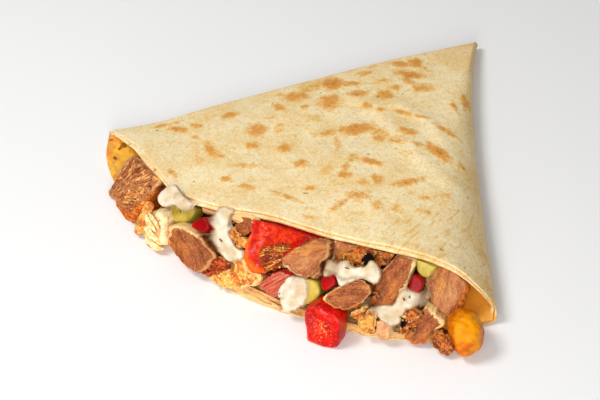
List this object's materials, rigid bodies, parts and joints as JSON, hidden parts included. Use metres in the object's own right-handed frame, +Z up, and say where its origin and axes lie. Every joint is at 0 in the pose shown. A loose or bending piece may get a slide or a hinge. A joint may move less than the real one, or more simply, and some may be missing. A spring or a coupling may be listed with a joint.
{
  "type": "shish tawook crepe",
  "caption": "Large thin crepe folded into a flat cone, lying on its side, filled at the wide mouth with chicken pieces, diced vegetables, melted cheese and white sauce.",
  "frame": {"origin": "centre of the bounding box's bottom face, on the table that the crepe lies on", "axes": "+Z up; +Y from the filled mouth to the cone's closed point; +X across the mouth, towards the steep right-hand fold"},
  "size_m": [0.2262, 0.2138, 0.036],
  "materials": {
    "crepe": "thin soft wheat crepe, pale cream with brown griddle spots, dry and matt",
    "filling": "chopped chicken and sauce packed inside, dark and moist",
    "chicken": "roast chicken pieces, fibrous, light tan to brown, slightly moist",
    "crisp": "seared chicken edges and crumbs, golden orange to brown, rough",
    "crumb": "minced brown crumb, rough",
    "tomato": "diced tomato, dark red, wet and glossy",
    "cucumber": "diced pickled cucumber, pale yellow-green, wet",
    "pepper": "red bell pepper, bright red, glossy skin",
    "onion": "red onion wedge, pink flesh with dark red edges, moist",
    "cheese": "melted orange cheese, glossy",
    "sauce": "white garlic and yoghurt sauce, thick and glossy"
  },
  "bodies": {
    "root": {"crepe": "crepe", "tomato_left": "tomato", "tomato_middle": "tomato", "tomato_right": "tomato", "cucumber_left": "cucumber", "cucumber_middle": "cucumber", "cucumber_right": "cucumber", "pepper_cube": "pepper", "pepper_strip": "pepper", "onion_middle": "onion", "chicken_oval": "chicken", "chicken_long": "chicken", "chicken_slab": "chicken", "chicken_left": "chicken", "chicken_wedge": "chicken", "chicken_round": "chicken", "chicken_middle": "chicken", "chicken_right": "chicken", "chicken_pale": "chicken", "chicken_upper": "chicken", "chicken_grey": "chicken", "chicken_nub": "chicken", "crisp_low": "crisp", "crisp_middle": "crisp", "crisp_left": "crisp", "crisp_inner": "crisp", "crisp_upper": "crisp", "crisp_red": "crisp", "crisp_yellow": "crisp", "crisp_strand": "crisp", "crisp_strips": "crisp", "crisp_sliver": "crisp", "crisp_tongue": "crisp", "crumb_right": "crumb", "cheese_blob": "cheese", "sauce_left": "sauce", "sauce_stream": "sauce", "sauce_middle": "sauce", "sauce_drip": "sauce", "sauce_right": "sauce", "filling": "filling"}
  },
  "joints": []
}
